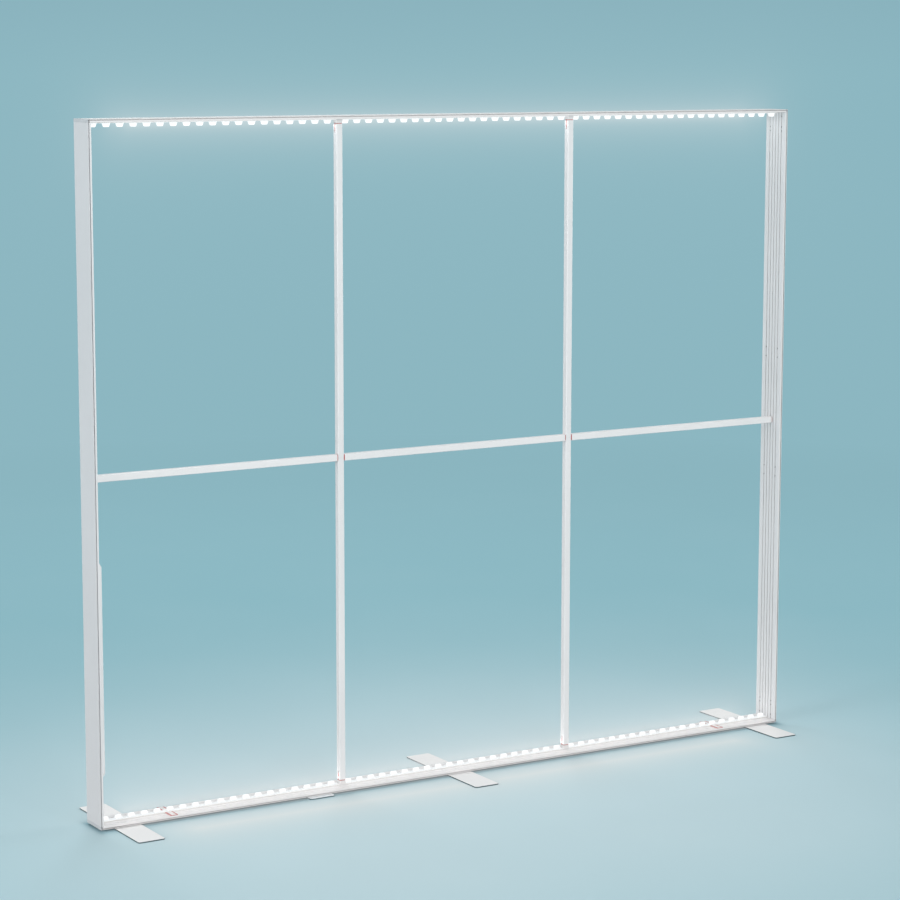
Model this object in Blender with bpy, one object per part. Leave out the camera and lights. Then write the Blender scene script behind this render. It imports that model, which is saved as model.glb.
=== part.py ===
# Lightbox display wall: a free-standing frame of slotted profiles with lit rails, poles and feet
# Metres, +Z up. X runs along the wall and -Y faces the viewer.

from math import cos, pi, radians, sin

import bmesh
import bpy
from mathutils import Matrix, Vector

# Overall frame
HALF_WIDTH = 1.5
FRAME_HEIGHT = 2.486
FRAME_DEPTH = 0.12
RAIL_COUNT = 3
CLEARANCE = 0.0003
CUT_OVERRUN = 0.002

# Profile section
PROFILE_THICKNESS = 0.0115
OUTER_WALL = 0.0018
KEDER_GROOVE_WIDTH = 0.0032
KEDER_GROOVE_DEPTH = 0.014
KEDER_WALL = 0.0018
LAND_GROOVE_WIDTH = 0.005
LAND_GROOVE_DEPTH = 0.003
LAND_GROOVE_FLOOR = 0.0015
LAND_GROOVE_PAIRS = 2
GROOVE_TO_WALL = 0.0082

# Holes in the posts, and the studs of the corner pieces and joiners that click into them
STUD_HOLE_RADIUS = 0.0022
CORNER_HOLE_FIRST = 0.028
CORNER_HOLE_SECOND = 0.0695
CORNER_HOLE_THIRD = 0.0855
POST_JOINT_RISE = 0.032
JOINT_HOLE_REACH = 0.2408
JOINT_HOLE_PITCH = 0.036
LEG_END_MARGIN = 0.009

# Rail joiners and pole sockets
RAIL_JOINER_REACH = 0.080
SOCKET_NECK = 0.0234
SOCKET_HEIGHT = 0.0155
SOCKET_FLOOR = 0.007

# Lit rows
BOARD_WIDTH = 0.024
BOARD_THICKNESS = 0.0024
BOARD_END_GAP = 0.0007
LENS_STRIP_THICKNESS = 0.001
LENS_HEIGHT = 0.0136
LENS_SIDE_RIM = 0.00325
LENS_SIDE_SLOPE = 0.00325
LENS_END_SLOPE = 0.0048
LENS_CORNER = 0.004
LENS_ROUNDING = 0.002
LENS_GAP = 0.0202
LENS_END_GAP = 0.0049
LENS_COUNT = 20
LENS_ROW_SHIFT = 0.004
LEFT_LENS_END_GAP = 0.0156
LEFT_LENS_COUNT = 19

# Poles and plugs
POLE_SIZE = 0.025
POLE_WALL = 0.002
POLE_CORNER_RADIUS = 0.003
POLE_SEAM = 0.003
PLUG_CLEAR_GAP = 0.0005
PLUG_BODY_LENGTH = 0.060
TONGUE_LENGTH = 0.024
TONGUE_WIDTH = 0.0044
TONGUE_END_GAP = 0.0008
NOSE_HEIGHT = 0.018
CROSS_ARM_REACH = 0.055

# Power supply on the left post
SUPPLY_BOTTOM = 0.185
SUPPLY_TOP = 0.9535
SUPPLY_WIDTH = 0.06
SUPPLY_THICKNESS = 0.0212
SUPPLY_WALL = 0.0016
SUPPLY_HEAD_CHAMFER_HEIGHT = 0.019
SUPPLY_HEAD_CHAMFER_DEPTH = 0.010
SUPPLY_FOOT_CHAMFER_HEIGHT = 0.011
SUPPLY_FOOT_CHAMFER_DEPTH = 0.005
DRIVER_BOARD_THICKNESS = 0.0016
DRIVER_BLOCKS = 5
DRIVER_BLOCK_GAP = 0.06
DRIVER_BLOCK_MARGIN = 0.010
DRIVER_HEADROOM = 0.005
INLET_WIDTH = 0.030
INLET_LENGTH = 0.024
INLET_WALL = 0.0021
INLET_RIM = 0.002
INLET_FLOOR = 0.009

# Feed bridges across the bottom rail
BRIDGE_OFFSET = 0.2855
BRIDGE_WIDTH = 0.029
BRIDGE_EDGE_MARGIN = 0.0012
BRIDGE_THICKNESS = 0.002
BRIDGE_RIM = 0.003
BRIDGE_PANEL_DEPTH = 0.0006
BRIDGE_BOARD_GAP = 0.0012

# Feet
FOOT_PLATE_THICKNESS = 0.004
FOOT_STANDOFF = 0.002
FOOT_WIDTH = 0.102
FOOT_LENGTH = 0.516
FOOT_CORNER_RADIUS = 0.008
FOOT_OFFSET = 0.105
MIDDLE_FOOT_SHIFT = 0.018
PAD_LENGTH = 0.164
PAD_JOINER_GAP = 0.033
STANDOFF_RADIUS = 0.025
BOLT_RADIUS = 0.005
BOLT_HEAD_RADIUS = 0.011
BOLT_HEAD_THICKNESS = 0.002
BOLT_NUT_SIZE = 0.018
BOLT_NUT_GAP = 0.011

# Levels and half sizes
FRAME_BASE = FOOT_PLATE_THICKNESS + FOOT_STANDOFF
FRAME_TOP = FRAME_BASE + FRAME_HEIGHT
HALF_DEPTH = FRAME_DEPTH / 2
INNER_BOTTOM = FRAME_BASE + PROFILE_THICKNESS
INNER_TOP = FRAME_TOP - PROFILE_THICKNESS
INNER_SIDE = HALF_WIDTH - PROFILE_THICKNESS
MID_HEIGHT = (INNER_BOTTOM + INNER_TOP) / 2
RAIL_LENGTH = 2 * HALF_WIDTH / RAIL_COUNT
JOINT_X = HALF_WIDTH - RAIL_LENGTH

# The hollow of the profile and what fits in it
CHAMBER_TOP = PROFILE_THICKNESS - LAND_GROOVE_DEPTH - LAND_GROOVE_FLOOR
CHAMBER_MIDDLE = (OUTER_WALL + CHAMBER_TOP) / 2
CHAMBER_HALF_WIDTH = HALF_DEPTH - KEDER_GROOVE_DEPTH - KEDER_WALL
INSERT_LOW = OUTER_WALL + CLEARANCE
INSERT_HIGH = CHAMBER_TOP - CLEARANCE
INSERT_HALF_WIDTH = CHAMBER_HALF_WIDTH - CLEARANCE
CORNER_BLOCK_WIDTH = CHAMBER_TOP
STUD_RADIUS = STUD_HOLE_RADIUS - CLEARANCE
STUD_TOP = CHAMBER_TOP + LAND_GROOVE_FLOOR
STUD_ROW = CHAMBER_HALF_WIDTH - GROOVE_TO_WALL
LAND_GROOVE_PITCH = STUD_ROW / LAND_GROOVE_PAIRS
POST_JOINT_HEIGHT = FRAME_HEIGHT / 2 + POST_JOINT_RISE
CORNER_HOLES = (CORNER_HOLE_FIRST, CORNER_HOLE_SECOND, CORNER_HOLE_THIRD)
JOINT_HOLES = (JOINT_HOLE_REACH - JOINT_HOLE_PITCH / 2, JOINT_HOLE_REACH + JOINT_HOLE_PITCH / 2)
CORNER_POST_LEG = CORNER_HOLE_THIRD + LEG_END_MARGIN
CORNER_RAIL_LEG = FOOT_OFFSET - BOLT_NUT_SIZE / 2 - BOLT_NUT_GAP

# Poles and plugs
POLE_HALF = POLE_SIZE / 2
BORE_HALF = POLE_HALF - POLE_WALL
PLUG_HALF = BORE_HALF - CLEARANCE
SOCKET_SEAT = PROFILE_THICKNESS + CLEARANCE
SOCKET_TOP = SOCKET_SEAT + SOCKET_HEIGHT
POLE_LOW = FRAME_BASE + SOCKET_TOP + POLE_SEAM
POLE_HIGH = FRAME_TOP - SOCKET_TOP - POLE_SEAM
PLUG_ENGAGEMENT = SOCKET_HEIGHT - SOCKET_FLOOR - CLEARANCE
PLUG_TRAVEL = PLUG_ENGAGEMENT + PLUG_CLEAR_GAP
SLOT_LENGTH = TONGUE_LENGTH + PLUG_TRAVEL + TONGUE_END_GAP
NOSE_DEPTH = LAND_GROOVE_DEPTH - CLEARANCE

# Lit rows
BOARD_LOW = CLEARANCE
BOARD_TOP = BOARD_LOW + BOARD_THICKNESS
STRIP_LOW = BOARD_TOP + CLEARANCE
STRIP_TOP = STRIP_LOW + LENS_STRIP_THICKNESS
LENS_TIP = STRIP_TOP + LENS_HEIGHT
LENS_BASE_WIDTH = BOARD_WIDTH - 2 * LENS_SIDE_RIM
BRIDGE_WEB = BOARD_THICKNESS / 2 - CLEARANCE

# Round and rounded shapes
CIRCLE_STEPS = 20
STUD_STEPS = 8
CORNER_STEPS = 3
SHARP_ANGLE = radians(35)


def clear_scene():
    for obj in list(bpy.data.objects):
        bpy.data.objects.remove(obj)


def make_material(name, color, roughness, metallic):
    material = bpy.data.materials.new(name)
    material.use_nodes = True
    shader = material.node_tree.nodes["Principled BSDF"]
    shader.inputs["Base Color"].default_value = (*color, 1.0)
    shader.inputs["Roughness"].default_value = roughness
    shader.inputs["Metallic"].default_value = metallic
    return material


def make_materials():
    return {
        "profile": make_material("white_profile", (0.80, 0.81, 0.82), 0.38, 0.0),
        "corner": make_material("corner_plastic", (0.66, 0.67, 0.69), 0.45, 0.0),
        "steel": make_material("zinc_steel", (0.55, 0.56, 0.58), 0.35, 1.0),
        "pole": make_material("white_pole", (0.84, 0.85, 0.85), 0.30, 0.0),
        "socket": make_material("grey_socket", (0.70, 0.71, 0.72), 0.45, 0.0),
        "red": make_material("red_plastic", (0.75, 0.05, 0.05), 0.40, 0.0),
        "board": make_material("light_board", (0.90, 0.90, 0.88), 0.45, 0.0),
        "lens": make_material("clear_lens", (0.95, 0.97, 0.98), 0.10, 0.0),
        "supply": make_material("supply_housing", (0.82, 0.83, 0.84), 0.35, 0.0),
        "driver": make_material("driver_board", (0.08, 0.25, 0.14), 0.50, 0.0),
        "inlet": make_material("black_inlet", (0.03, 0.03, 0.03), 0.45, 0.0),
        "foot": make_material("white_foot", (0.78, 0.79, 0.79), 0.40, 0.0),
    }


def mesh_from(bm, name):
    bmesh.ops.recalc_face_normals(bm, faces=bm.faces)
    mesh = bpy.data.meshes.new(name)
    bm.to_mesh(mesh)
    bm.free()
    return mesh


def add_object(name, mesh, material, location=(0, 0, 0), rotation=(0, 0, 0)):
    if material is not None and not mesh.materials:
        mesh.materials.append(material)
    obj = bpy.data.objects.new(name, mesh)
    obj.location = location
    obj.rotation_euler = rotation
    bpy.context.scene.collection.objects.link(obj)
    return obj


def add_loop(bm, points):
    verts = [bm.verts.new(point) for point in points]
    return [bm.edges.new((verts[i], verts[(i + 1) % len(verts)])) for i in range(len(verts))]


def extrude_into(bm, axis, outline, low, high, holes=()):
    # The outline is given in the two other axes, in X, Y, Z order
    lift = {
        "X": lambda u, v: (low, u, v),
        "Y": lambda u, v: (u, low, v),
        "Z": lambda u, v: (u, v, low),
    }[axis]
    along = {"X": (high - low, 0, 0), "Y": (0, high - low, 0), "Z": (0, 0, high - low)}[axis]
    edges = []
    for loop in (outline, *holes):
        edges += add_loop(bm, [lift(u, v) for u, v in loop])
    filled = bmesh.ops.triangle_fill(bm, use_beauty=True, use_dissolve=False, edges=edges)
    faces = [item for item in filled["geom"] if isinstance(item, bmesh.types.BMFace)]
    grown = bmesh.ops.extrude_face_region(bm, geom=faces, use_keep_orig=True)
    moved = [item for item in grown["geom"] if isinstance(item, bmesh.types.BMVert)]
    bmesh.ops.translate(bm, vec=along, verts=moved)


def extruded(name, axis, outline, low, high, holes=()):
    bm = bmesh.new()
    extrude_into(bm, axis, outline, low, high, holes)
    return mesh_from(bm, name)


def boxes_mesh(name, boxes):
    bm = bmesh.new()
    for low, high in boxes:
        size = [high[i] - low[i] for i in range(3)]
        centre = [(high[i] + low[i]) / 2 for i in range(3)]
        matrix = Matrix.Translation(centre) @ Matrix.Diagonal((*size, 1))
        bmesh.ops.create_cube(bm, size=1, matrix=matrix)
    return mesh_from(bm, name)


def box_mesh(name, low, high):
    return boxes_mesh(name, [(low, high)])


def rods_mesh(name, places, radius, low, high, axis="Z", steps=CIRCLE_STEPS):
    # Places are given in the two axes across the rods, in X, Y, Z order
    bm = bmesh.new()
    middle = (low + high) / 2
    for u, v in places:
        centre = {"X": (middle, u, v), "Z": (u, v, middle)}[axis]
        turn = {"X": Matrix.Rotation(pi / 2, 4, "Y"), "Z": Matrix.Identity(4)}[axis]
        matrix = Matrix.Translation(centre) @ turn
        bmesh.ops.create_cone(
            bm,
            cap_ends=True,
            segments=steps,
            radius1=radius,
            radius2=radius,
            depth=high - low,
            matrix=matrix,
        )
    return mesh_from(bm, name)


def carve(mesh, steps):
    body = add_object("carved", mesh, None)
    helpers = []
    for index, (operation, tool) in enumerate(steps):
        helper = add_object("tool_%d" % index, tool, None)
        helper.hide_render = True
        helper.display_type = "WIRE"
        helpers.append(helper)
        modifier = body.modifiers.new("step_%d" % index, "BOOLEAN")
        modifier.solver = "EXACT"
        modifier.operation = operation
        modifier.object = helper
    bpy.context.view_layer.update()
    graph = bpy.context.evaluated_depsgraph_get()
    result = bpy.data.meshes.new_from_object(body.evaluated_get(graph))
    result.name = mesh.name + "_carved"
    result.materials.clear()
    for obj in (body, *helpers):
        bpy.data.objects.remove(obj)
    return result


def smooth(mesh):
    mesh.shade_smooth()
    mesh.set_sharp_from_angle(angle=SHARP_ANGLE)


def rectangle(low_u, high_u, low_v, high_v):
    return [(low_u, low_v), (high_u, low_v), (high_u, high_v), (low_u, high_v)]


def rounded_rectangle(half_u, half_v, radius):
    points = []
    for quarter, (sign_u, sign_v) in enumerate(((1, 1), (-1, 1), (-1, -1), (1, -1))):
        for step in range(CORNER_STEPS):
            angle = (quarter + step / (CORNER_STEPS - 1)) * pi / 2
            u = sign_u * (half_u - radius) + radius * cos(angle)
            v = sign_v * (half_v - radius) + radius * sin(angle)
            points.append((u, v))
    return points


# Profile section: Y across the depth, Z from the outer face to the inner face
def land_groove_centres():
    return [index * LAND_GROOVE_PITCH for index in range(-LAND_GROOVE_PAIRS, LAND_GROOVE_PAIRS + 1)]


def edge_groove(side):
    groove_end = HALF_DEPTH - KEDER_GROOVE_DEPTH
    groove_top = OUTER_WALL + KEDER_GROOVE_WIDTH
    return [
        (side * HALF_DEPTH, OUTER_WALL),
        (side * groove_end, OUTER_WALL),
        (side * groove_end, groove_top),
        (side * HALF_DEPTH, groove_top),
        (side * HALF_DEPTH, PROFILE_THICKNESS),
    ]


def profile_outline():
    points = [(-HALF_DEPTH, 0), (HALF_DEPTH, 0)]
    points += edge_groove(1)
    floor = PROFILE_THICKNESS - LAND_GROOVE_DEPTH
    half = LAND_GROOVE_WIDTH / 2
    for centre in reversed(land_groove_centres()):
        points += [(centre + half, PROFILE_THICKNESS), (centre + half, floor)]
        points += [(centre - half, floor), (centre - half, PROFILE_THICKNESS)]
    points += reversed(edge_groove(-1))
    return points


def profile_mesh(name, low, high):
    chamber = rectangle(-CHAMBER_HALF_WIDTH, CHAMBER_HALF_WIDTH, OUTER_WALL, CHAMBER_TOP)
    return extruded(name, "X", profile_outline(), low, high, [chamber])


# Places along the wall
def foot_places():
    return {"left": -HALF_WIDTH + FOOT_OFFSET, "middle": -MIDDLE_FOOT_SHIFT, "right": HALF_WIDTH - FOOT_OFFSET}


def pad_place():
    return -JOINT_X - RAIL_JOINER_REACH - PAD_JOINER_GAP - BOLT_NUT_SIZE / 2


def joint_places():
    return {"left": -JOINT_X, "right": JOINT_X}


def bay_spans():
    # The clear lengths of the rails between the posts and the pole sockets
    near = JOINT_X + POLE_HALF
    far = JOINT_X - POLE_HALF
    return {"left": (-INNER_SIDE, -near), "middle": (-far, far), "right": (near, INNER_SIDE)}


def bridge_places():
    return {"left": -HALF_WIDTH + BRIDGE_OFFSET, "right": HALF_WIDTH - BRIDGE_OFFSET}


# Rails
def rail_span(side):
    end = HALF_WIDTH - CORNER_BLOCK_WIDTH - CLEARANCE
    outer = JOINT_X + CLEARANCE / 2
    inner = JOINT_X - CLEARANCE / 2
    return {"left": (-end, -outer), "middle": (-inner, inner), "right": (outer, end)}[side]


def neck_notch(x):
    half = SOCKET_NECK / 2 + CLEARANCE
    top = PROFILE_THICKNESS + CUT_OVERRUN
    return box_mesh("neck_notch", (x - half, -half, CHAMBER_MIDDLE), (x + half, half, top))


def bolt_hole(x):
    return rods_mesh("bolt_hole", [(x, 0)], BOLT_RADIUS + CLEARANCE, -CUT_OVERRUN, CHAMBER_MIDDLE)


def rail_mesh(name, side, bolts):
    low, high = rail_span(side)
    reach = SOCKET_NECK / 2
    near = [x for x in joint_places().values() if low - reach < x < high + reach]
    cuts = [("DIFFERENCE", neck_notch(x)) for x in near]
    cuts += [("DIFFERENCE", bolt_hole(x)) for x in bolts if low < x < high]
    return carve(profile_mesh(name, low, high), cuts)


def build_rails(materials):
    bolts = [*foot_places().values(), pad_place()]
    for side in ("left", "middle", "right"):
        lower = rail_mesh("bottom_rail", side, bolts)
        upper = rail_mesh("top_rail", side, [])
        add_object("bottom_rail_" + side, lower, materials["profile"], (0, 0, FRAME_BASE))
        add_object("top_rail_" + side, upper, materials["profile"], (0, 0, FRAME_TOP), (pi, 0, 0))


# Posts and their joiners: along X from the frame's base up, then stood on end
def stand_posts(name, mesh, material):
    add_object("right_" + name, mesh, material, (HALF_WIDTH, 0, FRAME_BASE), (0, -pi / 2, 0))
    add_object("left_" + name, mesh, material, (-HALF_WIDTH, 0, FRAME_BASE), (0, -pi / 2, pi))


def joint_hole_heights():
    below = [POST_JOINT_HEIGHT - distance for distance in JOINT_HOLES]
    above = [POST_JOINT_HEIGHT + distance for distance in JOINT_HOLES]
    return below + above


def post_hole_heights():
    ends = [*CORNER_HOLES, *(FRAME_HEIGHT - distance for distance in CORNER_HOLES)]
    return ends + joint_hole_heights()


def in_both_rows(heights):
    return [(height, row) for height in heights for row in (-STUD_ROW, STUD_ROW)]


def post_mesh(name, low, high):
    places = in_both_rows([height for height in post_hole_heights() if low < height < high])
    top = PROFILE_THICKNESS + CUT_OVERRUN
    holes = rods_mesh("stud_holes", places, STUD_HOLE_RADIUS, CHAMBER_MIDDLE, top, steps=STUD_STEPS)
    return carve(profile_mesh(name, low, high), [("DIFFERENCE", holes)])


def build_posts(materials):
    foot = PROFILE_THICKNESS + CLEARANCE
    head = FRAME_HEIGHT - PROFILE_THICKNESS - CLEARANCE
    lower = post_mesh("post_lower", foot, POST_JOINT_HEIGHT - CLEARANCE / 2)
    upper = post_mesh("post_upper", POST_JOINT_HEIGHT + CLEARANCE / 2, head)
    stand_posts("post_lower", lower, materials["profile"])
    stand_posts("post_upper", upper, materials["profile"])


def build_post_joiners(materials):
    reach = JOINT_HOLES[-1] + LEG_END_MARGIN
    low = (POST_JOINT_HEIGHT - reach, -INSERT_HALF_WIDTH, INSERT_LOW)
    high = (POST_JOINT_HEIGHT + reach, INSERT_HALF_WIDTH, INSERT_HIGH)
    places = in_both_rows(joint_hole_heights())
    base = CHAMBER_MIDDLE + CLEARANCE
    studs = rods_mesh("joiner_studs", places, STUD_RADIUS, base, STUD_TOP, steps=STUD_STEPS)
    mesh = carve(box_mesh("post_joiner", low, high), [("UNION", studs)])
    stand_posts("post_joiner", mesh, materials["steel"])


# Corner pieces, as at the lower left: an end block with a leg into the rail and a leg up the post
def corner_grooves():
    low = OUTER_WALL
    turn = OUTER_WALL + KEDER_GROOVE_WIDTH
    right = CORNER_BLOCK_WIDTH + CUT_OVERRUN
    top = PROFILE_THICKNESS + CUT_OVERRUN
    path = [(low, low), (right, low), (right, turn), (turn, turn), (turn, top), (low, top)]
    bm = bmesh.new()
    inner = HALF_DEPTH - KEDER_GROOVE_DEPTH
    outer = HALF_DEPTH + CUT_OVERRUN
    extrude_into(bm, "Y", path, inner, outer)
    extrude_into(bm, "Y", path, -outer, -inner)
    return mesh_from(bm, "corner_grooves")


def corner_mesh():
    middle = CORNER_BLOCK_WIDTH / 2
    width = INSERT_HALF_WIDTH
    block = box_mesh("corner", (0, -HALF_DEPTH, 0), (CORNER_BLOCK_WIDTH, HALF_DEPTH, PROFILE_THICKNESS))
    rail_leg = box_mesh("rail_leg", (middle, -width, INSERT_LOW), (CORNER_RAIL_LEG, width, INSERT_HIGH))
    post_leg = box_mesh("post_leg", (INSERT_LOW, -width, middle), (INSERT_HIGH, width, CORNER_POST_LEG))
    places = [(row, height) for height, row in in_both_rows(CORNER_HOLES)]
    base = CHAMBER_MIDDLE + CLEARANCE
    studs = rods_mesh("corner_studs", places, STUD_RADIUS, base, STUD_TOP, axis="X", steps=STUD_STEPS)
    steps = [("UNION", rail_leg), ("UNION", post_leg), ("UNION", studs), ("DIFFERENCE", corner_grooves())]
    return carve(block, steps)


def build_corners(materials):
    mesh = corner_mesh()
    add_object("corner_bottom_left", mesh, materials["corner"], (-HALF_WIDTH, 0, FRAME_BASE))
    add_object("corner_bottom_right", mesh, materials["corner"], (HALF_WIDTH, 0, FRAME_BASE), (0, 0, pi))
    add_object("corner_top_left", mesh, materials["corner"], (-HALF_WIDTH, 0, FRAME_TOP), (pi, 0, 0))
    add_object("corner_top_right", mesh, materials["corner"], (HALF_WIDTH, 0, FRAME_TOP), (0, pi, 0))


# Rail joiners: a plate in both rail ends that carries the pole's socket
def rail_joiner_mesh():
    reach = RAIL_JOINER_REACH
    width = INSERT_HALF_WIDTH
    neck = SOCKET_NECK / 2
    floor = SOCKET_SEAT + SOCKET_FLOOR
    plate = box_mesh("rail_joiner", (-reach, -width, INSERT_LOW), (reach, width, INSERT_HIGH))
    neck_low = (-neck, -neck, CHAMBER_MIDDLE + CLEARANCE)
    post = box_mesh("neck", neck_low, (neck, neck, (SOCKET_SEAT + floor) / 2))
    outline = rounded_rectangle(POLE_HALF, POLE_HALF, POLE_CORNER_RADIUS)
    block = extruded("socket", "Z", outline, SOCKET_SEAT, SOCKET_TOP)
    bore = BORE_HALF
    recess = box_mesh("recess", (-bore, -bore, floor), (bore, bore, SOCKET_TOP + CUT_OVERRUN))
    return carve(plate, [("UNION", post), ("UNION", block), ("DIFFERENCE", recess)])


def build_rail_joiners(materials):
    mesh = rail_joiner_mesh()
    smooth(mesh)
    for side, x in joint_places().items():
        add_object("bottom_rail_joiner_" + side, mesh, materials["socket"], (x, 0, FRAME_BASE))
        add_object("top_rail_joiner_" + side, mesh, materials["socket"], (x, 0, FRAME_TOP), (pi, 0, 0))


# Lit rows: a board with a moulded strip of lenses on it
def lens_base_length(board_length):
    lens_room = board_length - 2 * LENS_END_GAP - (LENS_COUNT - 1) * LENS_GAP
    return lens_room / LENS_COUNT


def lens_centres(side, board_length, base_length):
    # The middle and right rows sit a little left of the middle of their boards
    if side == "left":
        end_gap, count, shift = LEFT_LENS_END_GAP, LEFT_LENS_COUNT, 0
    else:
        end_gap, count, shift = LENS_END_GAP, LENS_COUNT, LENS_ROW_SHIFT
    reach = board_length / 2 - end_gap - base_length / 2
    return [reach * (2 * index / (count - 1) - 1) - shift for index in range(count)]


def lens_rings(base_length):
    # Length, width, corner cut and level of the base, the shoulder and the flat top
    length = base_length - 2 * LENS_END_SLOPE
    width = LENS_BASE_WIDTH - 2 * LENS_SIDE_SLOPE
    inset = 2 * LENS_ROUNDING
    return (
        (base_length, LENS_BASE_WIDTH, LENS_CORNER, STRIP_TOP),
        (length, width, LENS_CORNER, LENS_TIP - LENS_ROUNDING),
        (length - inset, width - inset, LENS_CORNER - LENS_ROUNDING / 2, LENS_TIP),
    )


def add_ring(bm, centre, length, width, cut, level):
    u = length / 2
    v = width / 2
    points = [(u, cut - v), (u, v - cut), (u - cut, v), (cut - u, v)]
    points += [(-u, v - cut), (-u, cut - v), (cut - u, -v), (u - cut, -v)]
    return [bm.verts.new((centre + x, y, level)) for x, y in points]


def add_band(bm, lower, upper):
    for i in range(len(lower)):
        j = (i + 1) % len(lower)
        bm.faces.new((lower[i], lower[j], upper[j], upper[i]))


def loop_edges(bm, verts):
    return [bm.edges.get((verts[i], verts[(i + 1) % len(verts)])) for i in range(len(verts))]


def lens_row_mesh(name, side, half):
    bm = bmesh.new()
    base_length = lens_base_length(2 * half)
    outline = rectangle(-half, half, -BOARD_WIDTH / 2, BOARD_WIDTH / 2)
    lower = [bm.verts.new((x, y, STRIP_LOW)) for x, y in outline]
    upper = [bm.verts.new((x, y, STRIP_TOP)) for x, y in outline]
    bm.faces.new(lower)
    add_band(bm, lower, upper)
    edges = loop_edges(bm, upper)
    for centre in lens_centres(side, 2 * half, base_length):
        rings = [add_ring(bm, centre, *ring) for ring in lens_rings(base_length)]
        add_band(bm, rings[0], rings[1])
        add_band(bm, rings[1], rings[2])
        bm.faces.new(rings[2])
        edges += loop_edges(bm, rings[0])
    bmesh.ops.triangle_fill(bm, use_beauty=True, use_dissolve=False, edges=edges)
    return mesh_from(bm, name)


def board_mesh(half, notches):
    width = BOARD_WIDTH / 2
    board = box_mesh("light_board", (-half, -width, BOARD_LOW), (half, width, BOARD_TOP))
    reach = width + CUT_OVERRUN
    room = BRIDGE_WIDTH / 2 + CLEARANCE
    top = BOARD_LOW + BRIDGE_WEB + CLEARANCE
    cuts = []
    for x in notches:
        notch = box_mesh("notch", (x - room, -reach, -CUT_OVERRUN), (x + room, reach, top))
        cuts.append(("DIFFERENCE", notch))
    return carve(board, cuts)


def build_lit_rows(materials):
    for side, (low, high) in bay_spans().items():
        middle = (low + high) / 2
        half = (high - low) / 2 - BOARD_END_GAP
        notches = [x - middle for place, x in bridge_places().items() if place == side]
        lens = lens_row_mesh("lens_row_" + side, side, half)
        floor = (middle, 0, INNER_BOTTOM)
        roof = (middle, 0, INNER_TOP)
        turned = (pi, 0, 0)
        add_object("bottom_light_board_" + side, board_mesh(half, notches), materials["board"], floor)
        add_object("bottom_lens_row_" + side, lens, materials["lens"], floor)
        add_object("top_light_board_" + side, board_mesh(half, []), materials["board"], roof, turned)
        add_object("top_lens_row_" + side, lens, materials["lens"], roof, turned)


# Feed bridges: a strip across the bottom rail with a thin web under the light board
def bridge_mesh():
    half = BRIDGE_WIDTH / 2
    inner = BOARD_WIDTH / 2 + BRIDGE_BOARD_GAP
    outer = HALF_DEPTH - BRIDGE_EDGE_MARGIN
    top = CLEARANCE + BRIDGE_THICKNESS
    web_top = CLEARANCE + BRIDGE_WEB
    level = [(-outer, CLEARANCE), (outer, CLEARANCE), (outer, top), (inner, top)]
    level += [(inner, web_top), (-inner, web_top), (-inner, top), (-outer, top)]
    strip = extruded("feed_bridge", "X", level, -half, half)
    panels = []
    for low, high in ((inner + BRIDGE_RIM, outer - BRIDGE_RIM), (BRIDGE_RIM - outer, -inner - BRIDGE_RIM)):
        corner = (half - BRIDGE_RIM, high, top + CUT_OVERRUN)
        panels.append(((BRIDGE_RIM - half, low, top - BRIDGE_PANEL_DEPTH), corner))
    return carve(strip, [("DIFFERENCE", boxes_mesh("bridge_panels", panels))])


def build_bridges(materials):
    mesh = bridge_mesh()
    for side, x in bridge_places().items():
        add_object("feed_bridge_" + side, mesh, materials["red"], (x, 0, INNER_BOTTOM))


# Poles
def tube_mesh(name, low, high):
    outer = rounded_rectangle(POLE_HALF, POLE_HALF, POLE_CORNER_RADIUS)
    inner = rectangle(-BORE_HALF, BORE_HALF, -BORE_HALF, BORE_HALF)
    return extruded(name, "X", outer, low, high, [inner])


def stand_poles(name, mesh, material):
    # Each runs from its own rail towards the crossing, with the local -Z side facing the left post
    for side, x in joint_places().items():
        add_object("%s_%s_bottom" % (name, side), mesh, material, (x, 0, POLE_LOW), (pi, -pi / 2, 0))
        add_object("%s_%s_top" % (name, side), mesh, material, (x, 0, POLE_HIGH), (0, pi / 2, 0))


def build_uprights(materials):
    length = MID_HEIGHT - POLE_LOW - CLEARANCE / 2
    outside = POLE_HALF + CUT_OVERRUN
    slot_half = TONGUE_WIDTH / 2 + CLEARANCE
    slot_floor = POLE_WALL / 2 - BORE_HALF
    slot_low = (-CUT_OVERRUN, -slot_half, -outside)
    slot = box_mesh("latch_slot", slot_low, (SLOT_LENGTH, slot_half, slot_floor))
    low = (length + CLEARANCE / 2 - BORE_HALF, -BORE_HALF, -outside)
    window = box_mesh("arm_window", low, (length + CUT_OVERRUN, BORE_HALF, outside))
    mesh = carve(tube_mesh("upright", 0, length), [("DIFFERENCE", slot), ("DIFFERENCE", window)])
    smooth(mesh)
    stand_poles("upright", mesh, materials["pole"])


def build_level_poles(materials):
    for side, (low, high) in bay_spans().items():
        mesh = tube_mesh("level_pole", low + POLE_SEAM, high - POLE_SEAM)
        smooth(mesh)
        add_object("level_pole_" + side, mesh, materials["pole"], (0, 0, MID_HEIGHT))


# Red plugs: each slides in the end of its pole, with its nose in a socket or in a post's groove
def build_end_plugs(materials):
    low = -POLE_SEAM - PLUG_ENGAGEMENT
    half = TONGUE_WIDTH / 2
    wide = PLUG_HALF
    body = box_mesh("end_plug", (low, -wide, -wide), (low + PLUG_BODY_LENGTH, wide, wide))
    tongue = box_mesh("tongue", (0, -half, -POLE_HALF), (TONGUE_LENGTH, half, 0))
    stand_poles("end_plug", carve(body, [("UNION", tongue)]), materials["red"])


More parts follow.
